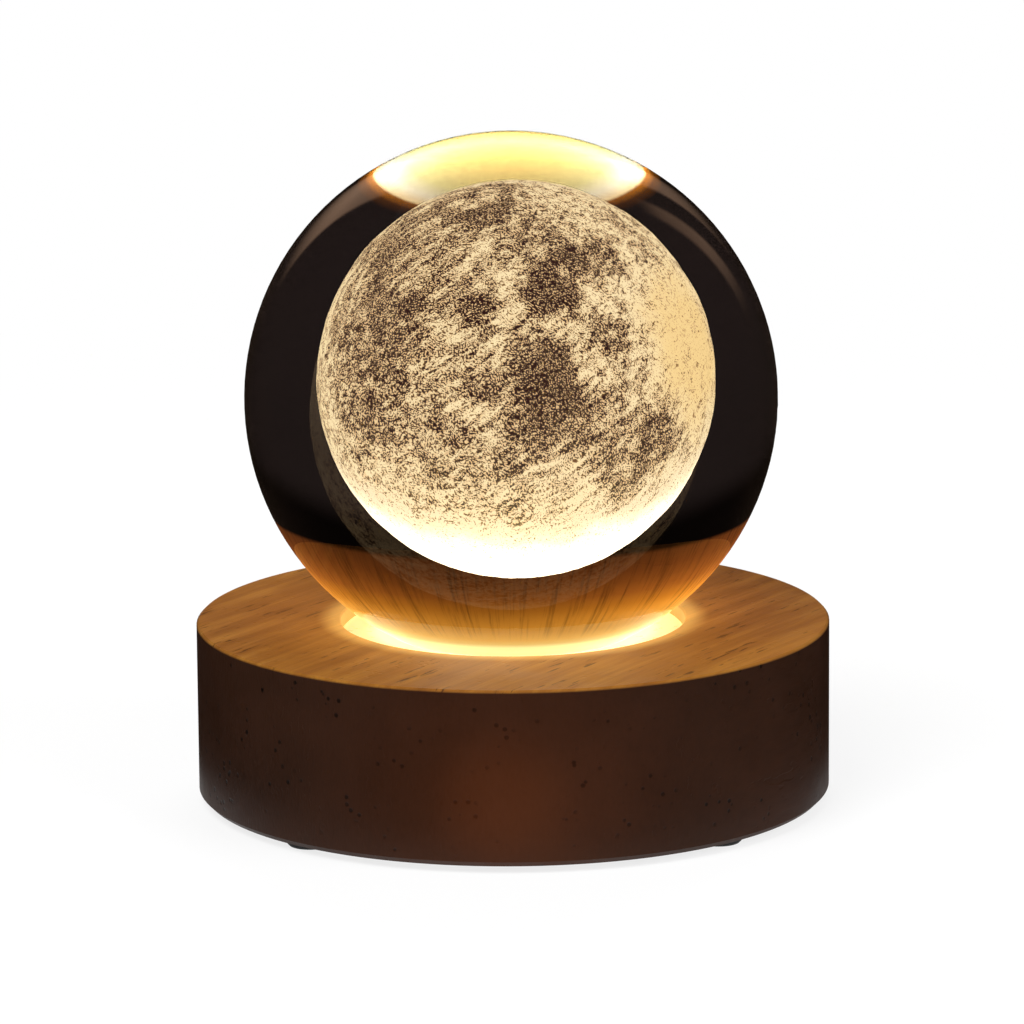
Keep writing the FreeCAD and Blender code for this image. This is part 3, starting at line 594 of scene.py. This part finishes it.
def seat_material():
    """Clear silicone with a painted glow for the light that it carries outward, brightest by the
    ball.
    """
    material, shader = new_material("lit_silicone")
    place = object_place(material)
    radius, _ = distance_from_axis(material, place)
    reach = remapped(material, radius, 18.0 * MM, 26.0 * MM, smooth=False)
    cloudy = noised(material, place, scale=400.0, roughness=0.6)
    # Painted light: the lamp's light in the silicone, as emission.
    light = graded(material, reach, (
        (0.0, (1.0, 0.86, 0.42)),
        (0.30, (1.0, 0.84, 0.38)),
        (0.55, (0.62, 0.40, 0.10)),
        (0.85, (0.60, 0.36, 0.08)),
        (1.0, (0.80, 0.58, 0.17)),
    ))
    light = mixed(material, 0.25, light, cloudy, "MULTIPLY")
    set_input(material, shader.inputs["Emission Color"], light)
    shader.inputs["Emission Strength"].default_value = 1.0
    shader.inputs["Base Color"].default_value = (0.75, 0.72, 0.62, 1.0)
    set_input(material, shader.inputs["Roughness"],
              remapped(material, cloudy, 0.3, 0.7, 0.25, 0.45))
    return material


def plain_material(name, rgb, roughness=0.5, metallic=0.0, emission=None, strength=0.0,
                   stretch=(1.0, 1.0, 1.0), grain=2600.0, relief=0.02, marks=None):
    """A surface with soft mottling, fine grain or scratches, and a bump in millimetres."""
    material, shader = new_material(name)
    place = object_place(material)
    clouds = noised(material, place, scale=180.0, detail=5.0, roughness=0.6)
    fine = noised(material, stretched(material, place, stretch), grain, 3.0, 0.6)
    blend = blended(material, clouds, 0.6, fine, 0.4)
    mottle = remapped(material, blend, 0.3, 0.7)
    base = mixed(material, mottle, solid([part * 0.72 for part in rgb]), solid(rgb))
    height = fine
    if marks:
        mark, paint = marks(material, place)
        base = mixed(material, mark, base, paint)
        height = maths(material, "ADD", fine, maths(material, "MULTIPLY", mark, 2.0))
    set_input(material, shader.inputs["Base Color"], base)
    shader.inputs["Metallic"].default_value = metallic
    set_input(material, shader.inputs["Roughness"],
              remapped(material, blend, 0.25, 0.75, roughness - 0.1, roughness + 0.1))
    set_input(material, shader.inputs["Normal"], bumped(material, height, 0.4, relief * MM))
    if emission:
        lit = mixed(material, mottle, solid([part * 0.85 for part in emission]), solid(emission))
        set_input(material, shader.inputs["Emission Color"], lit)
        shader.inputs["Emission Strength"].default_value = strength
    return material


def ring_tracks(material, place):
    """Rings under the white lacquer that join the lights."""
    radius, _ = distance_from_axis(material, place)
    ring = 0.0
    for reach in (5.0 * MM, 12.8 * MM, 15.5 * MM):
        off = maths(material, "ABSOLUTE", maths(material, "SUBTRACT", radius, reach))
        ring = maths(material, "MAXIMUM", ring, remapped(material, off, 0.55 * MM, 0.40 * MM))
    return ring, (0.62, 0.63, 0.58, 1.0)


def square_tracks(material, place):
    """Narrow tracks that run straight across a green board."""
    parts = add_node(material, "SeparateXYZ", {"Vector": place})
    track = 0.0
    for axis, pitch in (("X", 2.2 * MM), ("Y", 3.1 * MM)):
        cycle = maths(material, "PINGPONG", parts.outputs[axis], pitch / 2)
        track = maths(material, "MAXIMUM", track,
                      remapped(material, cycle, 0.24 * MM, 0.16 * MM))
    gaps = remapped(material, noised(material, place, scale=260.0, detail=0.0), 0.45, 0.50)
    return maths(material, "MULTIPLY", track, gaps), (0.10, 0.34, 0.12, 1.0)


def tarnish(material, place):
    """Brown spots on brass."""
    spots = noised(material, place, scale=700.0, roughness=0.7)
    return remapped(material, spots, 0.56, 0.70, 0.0, 0.6), (0.30, 0.17, 0.06, 1.0)


def make_materials():
    """Every material by the name of the slot that it fills."""
    scratched = (0.03, 1.0, 1.0)
    return {
        "dark_wood": wood_material(),
        "crystal": glass_material(),
        "clear_silicone": seat_material(),
        "frosted_plastic": plain_material("frosted_plastic", (0.85, 0.82, 0.74), 0.45,
                                          emission=(1.0, 0.86, 0.55), strength=40.0),
        "engraving": plain_material("engraving", (0.8, 0.75, 0.62), 0.8),
        "white_plastic": plain_material("white_plastic", (0.8, 0.79, 0.75), 0.4),
        "white_board": plain_material("white_board", (0.78, 0.78, 0.76), 0.35,
                                      marks=ring_tracks),
        "green_board": plain_material("green_board", (0.02, 0.17, 0.05), 0.35,
                                      marks=square_tracks),
        "phosphor": plain_material("phosphor", (0.85, 0.55, 0.06), 0.5, relief=0.04,
                                   emission=(1.0, 0.72, 0.30), strength=6.0),
        "chip_ceramic": plain_material("chip_ceramic", (0.07, 0.07, 0.08), 0.45),
        "black_plastic": plain_material("black_plastic", (0.022, 0.022, 0.024), 0.38),
        "cover_plastic": plain_material("cover_plastic", (0.035, 0.032, 0.03), 0.55,
                                        grain=1800.0, relief=0.05),
        "socket_steel": plain_material("socket_steel", (0.66, 0.66, 0.68), 0.32, 1.0,
                                       stretch=scratched),
        "nickel": plain_material("nickel", (0.68, 0.64, 0.58), 0.28, 1.0, stretch=scratched),
        "terminal_brass": plain_material("terminal_brass", (0.80, 0.56, 0.22), 0.34, 1.0,
                                         marks=tarnish),
        "screw_steel": plain_material("screw_steel", (0.56, 0.56, 0.58), 0.34, 1.0),
        "red_wire": plain_material("red_wire", (0.52, 0.018, 0.015), 0.42),
        "black_wire": plain_material("black_wire", (0.02, 0.02, 0.021), 0.42),
        "foot_rubber": plain_material("foot_rubber", (0.04, 0.04, 0.04), 0.8, relief=0.05),
    }


def seen_directly(material):
    """1 where the camera, a reflection or a view through glass looks, else 0."""
    path = add_node(material, "LightPath")
    seen = maths(material, "ADD", path.outputs["Is Camera Ray"], path.outputs["Is Glossy Ray"])
    return maths(material, "ADD", seen, path.outputs["Is Transmission Ray"], clamp=True)


def make_world():
    """A world that is white near the horizon and dim above, so that it lights softly."""
    world = bpy.data.worlds.new("studio")
    bpy.context.scene.world = world
    world.use_nodes = True
    world.node_tree.nodes.clear()
    way = add_node(world, "TexCoord").outputs["Generated"]
    rise = add_node(world, "SeparateXYZ", {"Vector": way}).outputs["Z"]
    level = remapped(world, rise, 0.10, 0.24, 1.0, 0.08)
    background = add_node(world, "Background", {"Color": WHITE, "Strength": level})
    add_node(world, "OutputWorld", {"Surface": background.outputs[0]})


def floor_material():
    """Matt white that fades to plain white far out, and is clear from below."""
    material = empty_material("studio_floor")
    matt = add_node(material, "BsdfDiffuse", {"Color": (0.9, 0.9, 0.9, 1.0)})
    white = add_node(material, "Emission", {"Color": WHITE, "Strength": 1.0})
    far, _ = distance_from_axis(material, object_place(material))
    share = maths(material, "MULTIPLY", seen_directly(material),
                  remapped(material, far, 0.12, 0.40, 0.8, 1.0))
    lit = add_node(material, "MixShader", {0: share, 1: matt.outputs[0], 2: white.outputs[0]})
    clear = add_node(material, "BsdfTransparent")
    under = add_node(material, "NewGeometry").outputs["Backfacing"]
    mix = add_node(material, "MixShader", {0: under, 1: lit.outputs[0], 2: clear.outputs[0]})
    add_node(material, "OutputMaterial", {"Surface": mix.outputs[0]})
    return material


def make_floor():
    """A white floor that keeps a soft shadow."""
    side = FLOOR_HALF_SIDE
    corners = [(-side, -side, 0), (side, -side, 0), (side, side, 0), (-side, side, 0)]
    mesh = bpy.data.meshes.new("floor")
    mesh.from_pydata(corners, [], [(0, 1, 2, 3)])
    mesh.materials.append(floor_material())
    floor = bpy.data.objects.new("floor", mesh)
    bpy.context.scene.collection.objects.link(floor)


def make_lights():
    """Soft round lights that aim at the moon lamp and aren't seen in its glass."""
    for name, place, power in LIGHTS:
        light = bpy.data.lights.new(name, "AREA")
        light.shape = "DISK"
        light.size = LIGHT_SIZE
        light.energy = power
        stand = bpy.data.objects.new(name, light)
        stand.location = place
        aim = (LIGHTS_AIM - Vector(place)).to_track_quat("-Z", "Y")
        stand.rotation_euler = aim.to_euler()
        stand.visible_glossy = False
        stand.visible_transmission = False
        bpy.context.scene.collection.objects.link(stand)


def card_material():
    """Nearly black cloth with paler strips, whose reflections edge the ball."""
    material = empty_material("studio_flags")
    place = object_place(material)
    parts = add_node(material, "SeparateXYZ", {"Vector": place})
    window = maths(material, "MULTIPLY", remapped(material, parts.outputs["Z"], 0.09, 0.20),
                   remapped(material, parts.outputs["Z"], 0.37, 0.27))
    window = maths(material, "MULTIPLY", window,
                   remapped(material, parts.outputs["Y"], 0.05, 0.15))
    level = maths(material, "MULTIPLY", noised(material, place, 9.0, 3.0, 0.5), 0.03)
    for low, high, power in CARD_STRIPS:
        strip = maths(material, "MULTIPLY",
                      remapped(material, parts.outputs["X"], low - CARD_EDGE, low + CARD_EDGE),
                      remapped(material, parts.outputs["X"], high + CARD_EDGE, high - CARD_EDGE))
        strip = maths(material, "MULTIPLY", strip, window)
        level = maths(material, "ADD", level, maths(material, "MULTIPLY", strip, power))
    lit = add_node(material, "Emission", {"Color": (1.0, 0.62, 0.40, 1.0), "Strength": level})
    add_node(material, "OutputMaterial", {"Surface": lit.outputs[0]})
    return material


def make_cards():
    """Dark cards round the set, out of the picture, that keep the glass dark."""
    profile = ((CARD_NEAR, CARD_LIFT), (CARD_FAR, CARD_LIFT), (CARD_FAR, CARD_TOP))
    points = []
    faces = []
    for step in range(CARD_SIDES):
        angle = math.tau * step / CARD_SIDES
        points += [(r * math.cos(angle), r * math.sin(angle), z) for r, z in profile]
        here = 3 * step
        there = 3 * ((step + 1) % CARD_SIDES)
        faces.append((here, there, there + 1, here + 1))
        faces.append((here + 1, there + 1, there + 2, here + 2))
    mesh = bpy.data.meshes.new("flags")
    mesh.from_pydata(points, [], faces)
    mesh.materials.append(card_material())
    flags = bpy.data.objects.new("flags", mesh)
    bpy.context.scene.collection.objects.link(flags)
    flags.visible_camera = False
    flags.visible_diffuse = False
    flags.visible_transmission = False
    flags.visible_shadow = False


def place_camera():
    """The photograph's camera."""
    data = bpy.data.cameras.new("camera")
    data.lens = LENS
    data.sensor_width = SENSOR_SIDE
    data.clip_start = 0.02
    camera = bpy.data.objects.new("camera", data)
    back = Vector((0, -math.cos(CAMERA_ELEVATION), math.sin(CAMERA_ELEVATION)))
    turn = Euler((math.pi / 2 - CAMERA_ELEVATION, 0, 0)).to_matrix().to_4x4()
    spot = Matrix.Translation(CAMERA_TARGET + back * CAMERA_DISTANCE)
    camera.matrix_world = spot @ turn @ Matrix.Rotation(CAMERA_ROLL, 4, "Z")
    bpy.context.scene.collection.objects.link(camera)
    bpy.context.scene.camera = camera


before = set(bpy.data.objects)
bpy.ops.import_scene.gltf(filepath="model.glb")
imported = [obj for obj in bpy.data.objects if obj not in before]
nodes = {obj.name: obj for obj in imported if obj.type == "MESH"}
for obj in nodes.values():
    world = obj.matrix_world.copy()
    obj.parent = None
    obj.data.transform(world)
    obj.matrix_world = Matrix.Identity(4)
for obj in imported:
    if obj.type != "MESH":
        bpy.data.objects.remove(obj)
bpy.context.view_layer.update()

materials = make_materials()
for node in nodes.values():
    for slot in node.material_slots:
        slot.material = materials[slot.material.name]
nodes["diffuser_disc"].visible_diffuse = False
smooth_seam(nodes["crystal_ball"])
make_moon()
make_world()
make_floor()
make_lights()
make_cards()
place_camera()
bpy.context.scene.view_settings.view_transform = "Standard"
